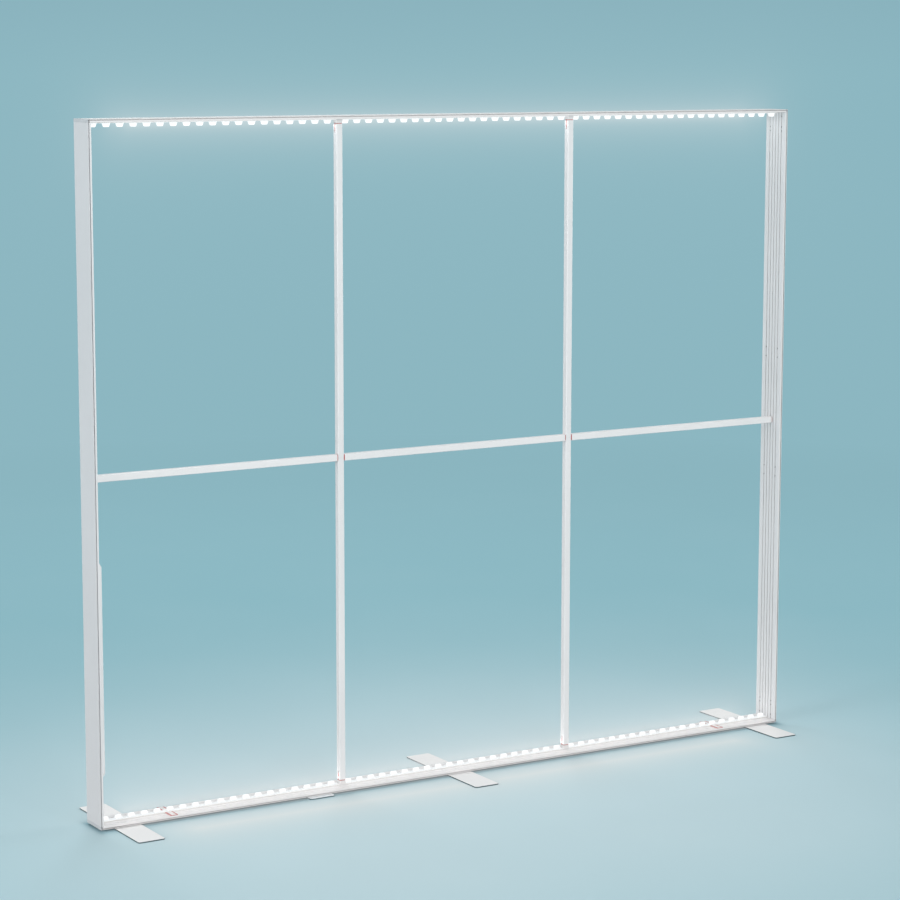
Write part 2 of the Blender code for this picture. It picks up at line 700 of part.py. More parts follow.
def build_side_plugs(materials):
    half = LAND_GROOVE_WIDTH / 2 - CLEARANCE
    tall = NOSE_HEIGHT / 2
    wide = PLUG_HALF
    body = box_mesh("side_plug", (CLEARANCE, -wide, -wide), (PLUG_BODY_LENGTH, wide, wide))
    nose = box_mesh("nose", (-NOSE_DEPTH, -half, -tall), (POLE_SEAM, half, tall))
    mesh = carve(body, [("UNION", nose)])
    add_object("side_plug_left", mesh, materials["red"], (-INNER_SIDE, 0, MID_HEIGHT))
    add_object("side_plug_right", mesh, materials["red"], (INNER_SIDE, 0, MID_HEIGHT), (0, 0, pi))


def build_crosses(materials):
    reach = CROSS_ARM_REACH
    level = box_mesh("cross", (-reach, -PLUG_HALF, -PLUG_HALF), (reach, PLUG_HALF, PLUG_HALF))
    upright = box_mesh("cross_upright", (-PLUG_HALF, -PLUG_HALF, -reach), (PLUG_HALF, PLUG_HALF, reach))
    mesh = carve(level, [("UNION", upright)])
    for side, x in joint_places().items():
        add_object("cross_connector_" + side, mesh, materials["red"], (x, 0, MID_HEIGHT))


# Power supply: X out from the post, Z up from the housing's lower end
def supply_section():
    length = SUPPLY_TOP - SUPPLY_BOTTOM
    deep = SUPPLY_THICKNESS
    return [
        (0, 0),
        (deep - SUPPLY_FOOT_CHAMFER_DEPTH, 0),
        (deep, SUPPLY_FOOT_CHAMFER_HEIGHT),
        (deep, length - SUPPLY_HEAD_CHAMFER_HEIGHT),
        (deep - SUPPLY_HEAD_CHAMFER_DEPTH, length),
        (0, length),
    ]


def supply_room():
    foot = SUPPLY_FOOT_CHAMFER_HEIGHT + SUPPLY_WALL
    head = SUPPLY_TOP - SUPPLY_BOTTOM - SUPPLY_HEAD_CHAMFER_HEIGHT - SUPPLY_WALL
    return foot, head


def inlet_sides():
    near = INLET_WALL
    far = SUPPLY_THICKNESS - SUPPLY_FOOT_CHAMFER_DEPTH - INLET_WALL
    return near, far, INLET_WIDTH / 2


def housing_mesh():
    half = SUPPLY_WIDTH / 2
    foot, head = supply_room()
    near, far, wide = inlet_sides()
    gap = CLEARANCE
    shell = extruded("power_supply_housing", "Y", supply_section(), -half, half)
    room_corner = (SUPPLY_THICKNESS - SUPPLY_WALL, half - SUPPLY_WALL, head)
    room = box_mesh("supply_room", (-CUT_OVERRUN, SUPPLY_WALL - half, foot), room_corner)
    mouth_low = (near - gap, -wide - gap, -CUT_OVERRUN)
    mouth = box_mesh("inlet_mouth", mouth_low, (far + gap, wide + gap, foot + gap))
    return carve(shell, [("DIFFERENCE", room), ("DIFFERENCE", mouth)])


def driver_mesh():
    foot, head = supply_room()
    foot += CLEARANCE
    head -= CLEARANCE
    half = SUPPLY_WIDTH / 2 - SUPPLY_WALL - CLEARANCE
    board = box_mesh("driver", (0, -half, foot), (DRIVER_BOARD_THICKNESS, half, head))
    pitch = (head - INLET_LENGTH) / DRIVER_BLOCKS
    wide = half - DRIVER_BLOCK_MARGIN
    tall = SUPPLY_THICKNESS - SUPPLY_WALL - DRIVER_HEADROOM
    blocks = []
    for index in range(DRIVER_BLOCKS):
        low = INLET_LENGTH + pitch * index + DRIVER_BLOCK_GAP / 2
        high = low + pitch - DRIVER_BLOCK_GAP
        blocks.append(((DRIVER_BOARD_THICKNESS / 2, -wide, low), (tall, wide, high)))
    return carve(board, [("UNION", boxes_mesh("driver_blocks", blocks))])


def inlet_mesh():
    near, far, wide = inlet_sides()
    body = box_mesh("mains_inlet", (near, -wide, 0), (far, wide, INLET_LENGTH))
    rim = INLET_RIM
    recess_top = INLET_LENGTH - INLET_FLOOR
    recess_low = (near + rim, rim - wide, -CUT_OVERRUN)
    recess = box_mesh("inlet_recess", recess_low, (far - rim, wide - rim, recess_top))
    return carve(body, [("DIFFERENCE", recess)])


def build_supply(materials):
    place = (CLEARANCE - INNER_SIDE, 0, FRAME_BASE + SUPPLY_BOTTOM)
    add_object("power_supply_housing", housing_mesh(), materials["supply"], place)
    add_object("power_supply_driver", driver_mesh(), materials["driver"], place)
    add_object("mains_inlet", inlet_mesh(), materials["inlet"], place)


# Feet: a plate with a round standoff, turning on a bolt that hangs from the bottom rail
def plate_mesh(name, length):
    outline = rounded_rectangle(FOOT_WIDTH / 2, length / 2, FOOT_CORNER_RADIUS)
    return extruded(name, "Z", outline, 0, FOOT_PLATE_THICKNESS)


def standoff():
    low = FOOT_PLATE_THICKNESS / 2
    return "UNION", rods_mesh("standoff", [(0, 0)], STANDOFF_RADIUS, low, FRAME_BASE - CLEARANCE)


def shank_and_nut(low):
    half = BOLT_NUT_SIZE / 2
    base = FRAME_BASE + INSERT_LOW
    top = FRAME_BASE + INSERT_HIGH
    shank = rods_mesh("shank", [(0, 0)], BOLT_RADIUS, low, FRAME_BASE + CHAMBER_MIDDLE)
    return [("UNION", shank), ("UNION", box_mesh("nut", (-half, -half, base), (half, half, top)))]


def foot_mesh():
    seat = CLEARANCE + BOLT_HEAD_THICKNESS + CLEARANCE
    drill = rods_mesh("drill", [(0, 0)], BOLT_RADIUS + CLEARANCE, -CUT_OVERRUN, FRAME_BASE + CUT_OVERRUN)
    counterbore = rods_mesh("counterbore", [(0, 0)], BOLT_HEAD_RADIUS + CLEARANCE, -CUT_OVERRUN, seat)
    steps = [standoff(), ("DIFFERENCE", drill), ("DIFFERENCE", counterbore)]
    return carve(plate_mesh("foot", FOOT_LENGTH), steps)


def bolt_mesh():
    top = CLEARANCE + BOLT_HEAD_THICKNESS
    head = rods_mesh("pivot_bolt", [(0, 0)], BOLT_HEAD_RADIUS, CLEARANCE, top)
    return carve(head, shank_and_nut(top - BOLT_HEAD_THICKNESS / 2))


def build_feet(materials):
    foot = foot_mesh()
    bolt = bolt_mesh()
    steps = [standoff(), *shank_and_nut(FOOT_PLATE_THICKNESS / 2)]
    pad = carve(plate_mesh("joint_pad", PAD_LENGTH), steps)
    for mesh in (foot, bolt, pad):
        smooth(mesh)
    for side, x in foot_places().items():
        add_object("foot_" + side, foot, materials["foot"], (x, 0, 0))
        add_object("pivot_bolt_" + side, bolt, materials["steel"], (x, 0, 0))
    add_object("joint_pad", pad, materials["foot"], (pad_place(), 0, 0))


def build():
    clear_scene()
    materials = make_materials()
    build_rails(materials)
    build_posts(materials)
    build_post_joiners(materials)
    build_corners(materials)
    build_rail_joiners(materials)
    build_lit_rows(materials)
    build_bridges(materials)
    build_uprights(materials)
    build_level_poles(materials)
    build_end_plugs(materials)
    build_side_plugs(materials)
    build_crosses(materials)
    build_supply(materials)
    build_feet(materials)


build()
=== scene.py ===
# Looks of the lightbox display wall: materials, lit lenses, small fittings, floor, light and camera
# Metres, +Z up. X runs along the wall and -Y faces the viewer.

from math import cos, pi, radians, sin

import bmesh
import bpy
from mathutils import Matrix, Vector


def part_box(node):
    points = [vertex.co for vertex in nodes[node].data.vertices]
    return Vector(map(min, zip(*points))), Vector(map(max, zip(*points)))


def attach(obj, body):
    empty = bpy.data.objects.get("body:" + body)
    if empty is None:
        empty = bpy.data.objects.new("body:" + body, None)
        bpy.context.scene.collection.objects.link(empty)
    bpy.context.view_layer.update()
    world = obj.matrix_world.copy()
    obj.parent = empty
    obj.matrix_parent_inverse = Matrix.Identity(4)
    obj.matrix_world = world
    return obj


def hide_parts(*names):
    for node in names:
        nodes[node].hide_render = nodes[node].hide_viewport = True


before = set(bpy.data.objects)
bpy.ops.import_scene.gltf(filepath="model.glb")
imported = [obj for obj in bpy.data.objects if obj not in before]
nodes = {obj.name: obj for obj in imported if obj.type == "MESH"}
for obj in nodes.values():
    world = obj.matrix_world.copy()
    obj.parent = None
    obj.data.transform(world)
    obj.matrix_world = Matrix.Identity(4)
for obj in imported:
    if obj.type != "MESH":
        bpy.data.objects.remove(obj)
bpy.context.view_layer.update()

SIDES = ("left", "middle", "right")
MM = 0.001

# Camera, fitted to the photo's straight edges
CAMERA_PLACE = (-5.263, -8.592, 2.736)
CAMERA_TURN = (radians(81.540), radians(-0.050), radians(-31.353))
CAMERA_LENS = 108.47
CAMERA_SENSOR = 36.0
CAMERA_REACH = 200.0

# Backdrop and floor: plain colours, and the pool of light that the lit rows throw
BACKDROP = (0.262, 0.470, 0.533)
BACKDROP_HIGH = (0.246, 0.437, 0.502)
HORIZON = (-0.01, 0.03)
FLOOR = (0.2514, 0.4654, 0.530)
FLOOR_LIT = (0.740, 0.833, 0.868)
FLOOR_NEAR = (0.80, 0.80, 0.78)
FLOOR_BOUNCE = (0.465, 0.54, 0.565)
FLOOR_FADE = (3.5, 9.0)
FLOOR_RADIUS = 14
FLOOR_CORNERS = 96
MOTTLE = 0.015
WIDE_POOL = {"half": 0.4, "middle": (-0.30, -0.55, 0), "reach": 2.05, "power": 2.2, "strength": 0.495}
CLOSE_POOL = {"half": 1.18, "middle": (0, -0.195, 0), "reach": 0.143, "power": 1.0, "strength": 0.555}

# The shade under the wall and beside the feet
UNDER_SHADE_COLOUR = (0.55, 0.66, 0.70)
UNDER_REACH = 0.036
UNDER_POWER = 1.8
UNDER_SQUEEZE = 2.2
BESIDE_REACH = 0.020
WALL_HALF_DEPTH = 0.057
WALL_HALF_WIDTH = 1.5

# The glow in the air round the lit rows
GLOW_COLOUR = (1.0, 0.98, 0.965)
GLOW_REACH = 1.35
GLOW_LIFT = 0.010
GLOW_LOW = 0.16
GLOW_HIGH = 0.125
GLOW_NEAR_REACH = 0.070
GLOW_WIDE = {"strength": 0.020, "reach": 0.36, "power": 1.0}
GLOW_TIGHT = {"strength": 0.07, "reach": 0.016, "power": 1.5}
GLOW_CARDS = (("glow_front", -0.07), ("glow_back", 0.07))
CARD_HALF_WIDTH = 2.6
CARD_LOW = 0.001
CARD_HIGH = 3.6

# Lamps: name, place, target, size and watts
LAMPS = (
    ("soft_front", (-1.5, -10.0, 3.4), (0, 0, 1.2), (5.0, 4.0), 425),
    ("soft_left", (-9.5, -1.5, 3.2), (0, 0, 1.2), (4.5, 4.0), 320),
    ("soft_right", (9.5, -1.0, 3.4), (0, 0, 1.2), (4.5, 4.0), 190),
    ("soft_back", (1.5, 7.0, 8.5), (0, 0, 1.0), (5.0, 4.0), 360),
)
AMBIENT = (1.0, 0.985, 0.975)
AMBIENT_STRENGTH = 0.55
ROW_LENGTH = 2.92
ROW_LIFT = 0.022
ROW_WIDTH = 0.02
ROW_WATTS = 0.7
ROW_SIDE_PLACE = 0.011
ROW_SIDE_WIDTH = 0.006
ROW_SIDE_WATTS = 0.07

# Places that the frame's section gives
PROFILE = 0.0115
FRAME_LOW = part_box("bottom_rail_middle")[0].z
FRAME_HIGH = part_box("top_rail_middle")[1].z
INNER_BOTTOM = FRAME_LOW + PROFILE
INNER_TOP = FRAME_HIGH - PROFILE
INNER_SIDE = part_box("right_post_lower")[1].x - PROFILE
STUD_ROW = 0.036
LENS_COUNTS = {"left": 19, "middle": 20, "right": 20}
LENS_END_GAPS = {"left": 0.0156, "middle": 0.0049, "right": 0.0049}
LENS_SHIFTS = {"left": 0.0, "middle": 0.004, "right": 0.004}
LENS_HALF = 0.01453
BRIDGE_X = 1.2145

# Levels of the studs in the posts, from the frame's ends and either side of the posts' joint
STUD_ENDS = (0.028, 0.0695, 0.0855)
POST_JOINT = 1.275
STUD_REACH = 0.2408
STUD_HALF_PITCH = 0.018
# Lift and radius of each ring of a stud's head, in millimetres
STUD_RINGS = ((0.02, 2.2), (2.2, 2.2), (2.55, 1.9), (2.7, 1.2))
STUD_FLOOR = 3.0
STUD_SIDES = 16

# Covers of the feed bridges, in millimetres
COVER_HALF_SIZE = (8.6, 22.2)
COVER_MIDDLE = 36.2
COVER_CORNER = 1.2
COVER_RINGS = ((0.02, 0.0), (0.40, 0.0), (0.62, 0.25))
RIB_COUNT = 5
RIB_FIRST = 6.0
RIB_PITCH = 3.0
RIB_HALF_SIZE = (6.0, 0.8)
RIB_CORNER = 0.5
RIB_RINGS = ((0.60, 0.0), (0.90, 0.15), (1.0, 0.45))


# ---------------------------------------------------------------- node helpers
class Paint:
    """A node material that is built from short calls."""

    def __init__(self, name):
        self.material = bpy.data.materials.new(name)
        self.material.use_nodes = True
        self.tree = self.material.node_tree
        self.shader = self.tree.nodes["Principled BSDF"]
        self.place = self.add("ShaderNodeTexCoord").outputs["Object"]

    def add(self, kind, inputs=None, **settings):
        node = self.tree.nodes.new(kind)
        for key, value in settings.items():
            setattr(node, key, value)
        for key, value in (inputs or {}).items():
            self.put(node.inputs[key], value)
        return node

    def put(self, socket, value):
        if isinstance(value, bpy.types.NodeSocket):
            self.tree.links.new(value, socket)
        elif isinstance(value, tuple) and len(value) == 3 and socket.type == "RGBA":
            socket.default_value = (*value, 1.0)
        else:
            socket.default_value = value

    def set(self, name, value):
        self.put(self.shader.inputs[name], value)

    def scaled(self, factors):
        node = self.add("ShaderNodeVectorMath", {0: self.place}, operation="MULTIPLY")
        node.inputs[1].default_value = factors
        return node.outputs[0]

    def noise(self, scale, detail=4.0, roughness=0.55, stretch=None):
        vector = self.scaled(stretch) if stretch else self.place
        inputs = {"Vector": vector, "Scale": scale, "Detail": detail, "Roughness": roughness}
        return self.add("ShaderNodeTexNoise", inputs).outputs["Fac"]

    def cells(self, scale):
        return self.add("ShaderNodeTexVoronoi", {"Vector": self.place, "Scale": scale}).outputs["Color"]

    def span(self, value, low, high, to_low=0.0, to_high=1.0):
        inputs = {"Value": value, "From Min": low, "From Max": high, "To Min": to_low, "To Max": to_high}
        return self.add("ShaderNodeMapRange", inputs).outputs["Result"]

    def math(self, operation, a, b=0.0):
        return self.add("ShaderNodeMath", {0: a, 1: b}, operation=operation).outputs[0]

    def blend(self, factor, low, high):
        node = self.add("ShaderNodeMix", data_type="RGBA")
        self.put(node.inputs[0], factor)
        self.put(node.inputs[6], low)
        self.put(node.inputs[7], high)
        return node.outputs[2]

    def rounded(self, radius):
        return self.add("ShaderNodeBevel", {"Radius": radius}, samples=4).outputs["Normal"]

    def edges(self, radius, low=0.02, high=0.22):
        true = self.add("ShaderNodeNewGeometry").outputs["Normal"]
        node = self.add("ShaderNodeVectorMath", {0: true, 1: self.rounded(radius)}, operation="DOT_PRODUCT")
        return self.span(self.math("SUBTRACT", 1.0, node.outputs["Value"]), low, high)

    def open_air(self, reach, low, high, deep):
        """1 where the surface is open, and the value deep far down in a groove."""
        node = self.add("ShaderNodeAmbientOcclusion", {"Distance": reach}, samples=4)
        return self.span(node.outputs["AO"], low, high, deep, 1.0)

    def shaded(self, colour, factor):
        node = self.add("ShaderNodeVectorMath", {0: colour, "Scale": factor}, operation="SCALE")
        return node.outputs[0]

    def bump(self, height, strength, distance, normal=None):
        inputs = {"Height": height, "Strength": strength, "Distance": distance}
        if normal is not None:
            inputs["Normal"] = normal
        return self.add("ShaderNodeBump", inputs).outputs["Normal"]


# ---------------------------------------------------------------- materials
def lacquered(name, tone, along, worn=(0.60, 0.61, 0.63), gloss=0.34, peel=0.10, painted_edge_shade=None, painted_side_shading=None, painted_hollow_shading=0.80):
    """White lacquer on extruded metal: orange peel, long die lines, fine dust specks, edges rubbed a little bare, and
    painted shade in grooves and corners.

    One colour paints shade on the upright faces of a plate, a factor paints the faces that look along X lighter
    or darker for how light falls on them, and the last share is the part of the tone left in grooves and corners.
    """
    p = Paint(name)
    stretch = (3.0, 140.0, 140.0) if along == "X" else (140.0, 140.0, 3.0)
    lines = p.noise(9.0, 3.0, 0.6, stretch)
    cloud = p.noise(2.2, 5.0)
    dust = p.noise(320.0, 3.0)
    low = tuple(channel * 0.955 for channel in tone)
    body = p.blend(p.span(cloud, 0.32, 0.68), low, tone)
    body = p.blend(p.span(dust, 0.60, 0.74, 0.0, 0.22), body, tuple(channel * 0.86 for channel in tone))
    body = p.blend(p.span(lines, 0.35, 0.75, 0.0, 0.05), body, tuple(channel * 0.88 for channel in tone))
    rubbed = p.math("MULTIPLY", p.edges(0.0007), p.span(p.noise(26.0, 5.0, 0.7), 0.52, 0.66))
    body = p.blend(p.math("MULTIPLY", rubbed, 0.65), body, worn)
    normal = p.add("ShaderNodeSeparateXYZ", {0: p.add("ShaderNodeNewGeometry").outputs["True Normal"]}).outputs
    # Painted shade: the upright faces of a plate take a dark colour
    if painted_edge_shade:
        body = p.blend(p.span(p.math("ABSOLUTE", normal["Z"]), 0.75, 0.45), body, painted_edge_shade)
    # Painted light and shade: faces that look along X are toned lighter or darker for how light falls on them
    if painted_side_shading:
        side_shaded = p.add("ShaderNodeVectorMath", {0: body, 1: painted_side_shading}, operation="MULTIPLY").outputs[0]
        body = p.blend(p.span(p.math("ABSOLUTE", normal["X"]), 0.55, 0.90), body, side_shaded)
    # Painted shade and light: grooves and corners are darkened where the share is below 1 and lightened where it is
    # above 1
    p.set("Base Color", p.shaded(body, p.open_air(0.006, 0.25, 0.75, painted_hollow_shading)))
    rough = p.span(cloud, 0.3, 0.7, gloss - 0.03, gloss + 0.06)
    rough = p.math("ADD", rough, p.span(dust, 0.4, 0.7, 0.0, 0.06))
    p.set("Roughness", p.math("SUBTRACT", rough, p.math("MULTIPLY", rubbed, 0.08)))
    p.set("Metallic", p.math("MULTIPLY", rubbed, 0.5))
    p.shader.inputs["Specular IOR Level"].default_value = 0.45
    grain = p.bump(p.noise(520.0, 2.0), peel, 0.0004, p.rounded(0.0006))
    p.set("Normal", p.bump(lines, 0.05, 0.0003, grain))
    return p.material


def moulded(name, tone, gloss=0.42, grain=900.0, soft=0.0):
    """Injection-moulded plastic: fine spark grain, faint flow marks and softened, paler edges."""
    p = Paint(name)
    cloud = p.noise(14.0, 4.0)
    grit = p.noise(grain, 2.0)
    swirl = p.noise(38.0, 6.0, 0.65, (1.0, 1.0, 0.35))
    dark = tuple(channel * 0.88 for channel in tone)
    light = tuple(min(1.0, channel * 1.05 + 0.012) for channel in tone)
    body = p.blend(p.span(cloud, 0.3, 0.7), dark, tone)
    body = p.blend(p.span(swirl, 0.55, 0.75, 0.0, 0.3), body, light)
    body = p.blend(p.math("MULTIPLY", p.edges(0.0006), 0.45), body, light)
    p.set("Base Color", body)
    rough = p.span(cloud, 0.3, 0.7, gloss - 0.05, gloss + 0.05)
    p.set("Roughness", p.math("ADD", rough, p.span(grit, 0.3, 0.7, 0.0, 0.08)))
    if soft:
        p.shader.inputs["Subsurface Weight"].default_value = soft
        p.shader.inputs["Subsurface Radius"].default_value = (0.004, 0.002, 0.0015)
        p.shader.inputs["Subsurface Scale"].default_value = 0.4
    normal = p.bump(grit, 0.12, 0.00025, p.rounded(0.0006))
    p.set("Normal", p.bump(swirl, 0.06, 0.0004, normal))
    return p.material


def galvanised(name):
    """Zinc plate: spangles of slightly different shades, scuffs and dull patches."""
    p = Paint(name)
    tone = (0.56, 0.57, 0.58)
    spangle = p.add("ShaderNodeSeparateColor", {"Color": p.cells(240.0)}).outputs[0]
    cloud = p.noise(30.0, 5.0)
    scuff = p.noise(60.0, 6.0, 0.7, (1.0, 9.0, 1.0))
    body = p.blend(spangle, tuple(c * 0.86 for c in tone), tuple(c * 1.12 for c in tone))
    body = p.blend(p.span(cloud, 0.5, 0.7, 0.0, 0.4), body, (0.44, 0.44, 0.43))
    p.set("Base Color", body)
    p.shader.inputs["Metallic"].default_value = 1.0
    p.set("Roughness", p.math("ADD", p.span(spangle, 0.0, 1.0, 0.28, 0.40), p.span(scuff, 0.5, 0.7, 0.0, 0.14)))
    p.set("Normal", p.bump(scuff, 0.10, 0.0003, p.rounded(0.0005)))
    return p.material


def circuit(name, mask, copper, trace_scale):
    """Printed board: solder mask over tracks that show as a slightly raised pattern, and a glass-fibre edge."""
    p = Paint(name)
    weave = p.noise(1400.0, 1.0, 0.5, (1.0, 0.25, 1.0))
    bricks = p.add(
        "ShaderNodeTexBrick",
        {"Vector": p.place, "Scale": trace_scale, "Mortar Size": 0.035, "Mortar Smooth": 0.1, "Row Height": 0.35},
    )
    track = bricks.outputs["Fac"]
    cloud = p.noise(20.0, 4.0)
    body = p.blend(p.span(cloud, 0.3, 0.7), tuple(c * 0.94 for c in mask), mask)
    body = p.blend(p.math("MULTIPLY", track, 0.35), body, copper)
    body = p.blend(p.math("MULTIPLY", p.edges(0.0004), 0.4), body, (0.62, 0.58, 0.44))
    p.set("Base Color", body)
    p.set("Roughness", p.span(cloud, 0.3, 0.7, 0.34, 0.46))
    normal = p.bump(track, 0.25, 0.0001, p.rounded(0.0003))
    p.set("Normal", p.bump(weave, 0.05, 0.0001, normal))
    return p.material


def lit_acrylic(name, level):
    """Clear lens moulding with its light on: brightest over the chip, cooler and dimmer towards its foot."""
    p = Paint(name)
    core = p.add("ShaderNodeAttribute", attribute_name="core").outputs["Fac"]
    ripple = p.noise(220.0, 3.0)
    p.set("Base Color", p.blend(core, (0.33, 0.345, 0.352), (0.36, 0.37, 0.38)))
    p.set("Roughness", p.span(ripple, 0.3, 0.7, 0.10, 0.20))
    p.shader.inputs["Coat Weight"].default_value = 0.5
    p.shader.inputs["Coat Roughness"].default_value = 0.05
    p.set("Emission Color", p.blend(core, (0.965, 0.985, 1.0), (1.0, 1.0, 1.0)))
    glow = p.math("MULTIPLY", p.span(core, 0.0, 1.0, 0.70 * level, level), p.span(ripple, 0.3, 0.7, 0.96, 1.04))
    p.set("Emission Strength", glow)
    p.set("Normal", p.bump(ripple, 0.05, 0.0003))
    return p.material


def frosted_strip(name, level):
    """The thin moulded strip between the lenses, glowing with the light that leaks along it."""
    p = Paint(name)
    haze = p.noise(90.0, 4.0)
    grit = p.noise(1100.0, 2.0)
    p.set("Base Color", p.blend(p.span(haze, 0.3, 0.7), (0.60, 0.63, 0.645), (0.70, 0.72, 0.73)))
    p.set("Roughness", p.span(grit, 0.3, 0.7, 0.30, 0.46))
    p.set("Emission Color", (1.0, 0.99, 0.985))
    p.set("Emission Strength", p.span(haze, 0.3, 0.7, level, level * 1.15))
    p.set("Normal", p.bump(grit, 0.08, 0.0002))
    return p.material


def dark_steel(name):
    """Blackened spring steel, scuffed a little."""
    p = Paint(name)
    scuff = p.noise(400.0, 4.0)
    p.set("Base Color", p.blend(p.span(scuff, 0.35, 0.7), (0.022, 0.024, 0.028), (0.07, 0.07, 0.075)))
    p.shader.inputs["Metallic"].default_value = 0.5
    p.set("Roughness", p.span(scuff, 0.3, 0.7, 0.34, 0.55))
    p.set("Normal", p.bump(scuff, 0.2, 0.0002))
    return p.material


WHITE = (0.815, 0.808, 0.808)
mats = {
    "rail": lacquered("lacquered_rail", (0.795, 0.780, 0.782), "X", painted_hollow_shading=1.0),
    # The two posts share one lacquer: the left post's tone is painted darker than the right post's, painted shade for
    # the lesser light on its faces
    "post_left": lacquered("lacquered_post_left", (0.762, 0.766, 0.775), "Z", painted_side_shading=(0.885, 0.885, 0.90), painted_hollow_shading=1.2),
    "post_right": lacquered("lacquered_post_right", WHITE, "Z", painted_side_shading=(0.955, 0.98, 1.0), painted_hollow_shading=0.66),
    "pole_x": lacquered("lacquered_pole_level", (0.845, 0.842, 0.845), "X", gloss=0.26, peel=0.05),
    "pole_z": lacquered(
        "lacquered_pole_upright", (0.812, 0.815, 0.820), "Z", gloss=0.26, peel=0.05, painted_side_shading=(1.02, 1.01, 1.015)
    ),
    "foot": lacquered(
        "powder_coated_foot", (0.800, 0.802, 0.804), "X", worn=(0.50, 0.50, 0.51), gloss=0.46, peel=0.28,
        painted_edge_shade=(0.070, 0.115, 0.130), painted_hollow_shading=1.0
    ),
    # The pad wears the feet's powder coat in a lighter, bluer copy: painted light that makes up for the shade under
    # the rail, with its hollows painted lighter too
    "pad": lacquered(
        "powder_coated_pad", (0.80, 0.85, 0.88), "X", worn=(0.60, 0.62, 0.63), gloss=0.46, peel=0.28,
        painted_edge_shade=(0.10, 0.15, 0.17), painted_hollow_shading=1.3
    ),
    "supply": lacquered("lacquered_housing", (0.825, 0.835, 0.842), "Z", gloss=0.30, peel=0.06),
    "corner": moulded("corner_nylon", (0.590, 0.610, 0.635), 0.46, 700.0),
    "socket": moulded("socket_nylon", (0.790, 0.775, 0.775), 0.44, 800.0),
    "red": moulded("red_moulding", (0.560, 0.035, 0.030), 0.36, 900.0, soft=0.08),
    # The covers' pale tone has a pink cast painted in for the bounce light from the red parts
    "panel": moulded("bridge_panel", (0.800, 0.760, 0.755), 0.40, 900.0),
    "inlet": moulded("inlet_moulding", (0.022, 0.022, 0.024), 0.40, 900.0),
    "steel": galvanised("zinc_plate"),
    "board": circuit("white_light_board", (0.86, 0.87, 0.86), (0.78, 0.76, 0.70), 60.0),
    "driver": circuit("green_driver_board", (0.035, 0.16, 0.075), (0.30, 0.30, 0.12), 90.0),
    # The top row's lenses and strip glow more than the bottom row's: painted light that makes up for the lamp light
    # their downward faces miss
    "lens_bottom": lit_acrylic("lit_lens_bottom", 0.81),
    "lens_top": lit_acrylic("lit_lens_top", 0.96),
    "strip_bottom": frosted_strip("frosted_strip_bottom", 0.27),
    "strip_top": frosted_strip("frosted_strip_top", 0.50),
    "stud": dark_steel("spring_steel_stud"),
}

DRESS = {
    "bottom_rail_": "rail", "top_rail_": "rail", "left_post_": "post_left", "right_post_": "post_right",
    "corner_": "corner", "upright_": "pole_z", "level_pole_": "pole_x", "cross_": "red",
    "end_plug_": "red", "side_plug_": "red", "feed_bridge_": "red", "power_supply_housing": "supply",
    "power_supply_driver": "driver", "mains_inlet": "inlet", "foot_": "foot", "joint_pad": "pad",
    "pivot_bolt_": "steel", "bottom_light_board_": "board", "top_light_board_": "board",
    "bottom_rail_joiner_": "socket", "top_rail_joiner_": "socket",
    "left_post_joiner": "steel", "right_post_joiner": "steel",
}


def dress_nodes():
    """Gives each carried-over node the material whose key its name starts with, the longest key first."""
    for name, obj in nodes.items():
        best = max((key for key in DRESS if name.startswith(key)), key=len, default=None)
        if best:
            for index in range(len(obj.material_slots)):
                obj.material_slots[index].material = mats[DRESS[best]]


# ---------------------------------------------------------------- mesh helpers
def piece(name, bm, materials, body="wall"):
    bmesh.ops.recalc_face_normals(bm, faces=bm.faces)
    mesh = bpy.data.meshes.new(name)
    bm.to_mesh(mesh)
    bm.free()
    for material in materials:
        mesh.materials.append(material)
    obj = bpy.data.objects.new(name, mesh)
    bpy.context.scene.collection.objects.link(obj)
    mesh.shade_smooth()
    mesh.set_sharp_from_angle(angle=radians(38))
    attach(obj, body)
    return obj


def rounded_loop(half_u, half_v, radius, steps=5):
    radius = min(radius, half_u, half_v)
    points = []
    for quarter, (su, sv) in enumerate(((1, 1), (-1, 1), (-1, -1), (1, -1))):
        for step in range(steps):
            angle = (quarter + step / (steps - 1)) * pi / 2
            points.append((su * (half_u - radius) + radius * cos(angle), sv * (half_v - radius) + radius * sin(angle)))
    return points


def skin(bm, rings, material=0, cap=True):
    """Joins rings of points into a surface, with a fan on the last one."""
    made = [[bm.verts.new(point) for point in ring] for ring in rings]
    faces = []
    for low, high in zip(made, made[1:]):
        for i in range(len(low)):
            j = (i + 1) % len(low)
            faces.append(bm.faces.new((low[i], low[j], high[j], high[i])))
    if cap:
        faces.append(bm.faces.new(made[-1]))
    for face in faces:
        face.material_index = material
    return made


# ---------------------------------------------------------------- lit rows
# Level above the strip, half length, half width and corner radius of each ring of a lens, in millimetres
LENS_RINGS = (
    (0.0, 15.2, 9.2, 5.0, 0.00), (0.25, 14.6, 8.75, 4.8, 0.05), (0.8, 14.1, 8.45, 4.6, 0.12),
    (2.0, 13.6, 8.05, 4.4, 0.24), (4.0, 13.0, 7.6, 4.2, 0.42), (6.5, 12.25, 7.05, 4.0, 0.62),
    (9.0, 11.5, 6.5, 3.8, 0.80), (10.8, 10.9, 6.05, 3.6, 0.90), (12.1, 10.25, 5.55, 3.4, 0.95),
    (12.95, 9.4, 4.9, 3.0, 0.98), (13.38, 8.3, 4.0, 2.6, 1.0), (13.53, 6.4, 2.8, 2.0, 1.0),
)
LENS_TIP = 13.6
STRIP_THICKNESS = 1.0
STRIP_PROFILE = ((-12.0, 0.0), (-12.0, 0.75), (-11.7, 1.0), (11.7, 1.0), (12.0, 0.75), (12.0, 0.0))


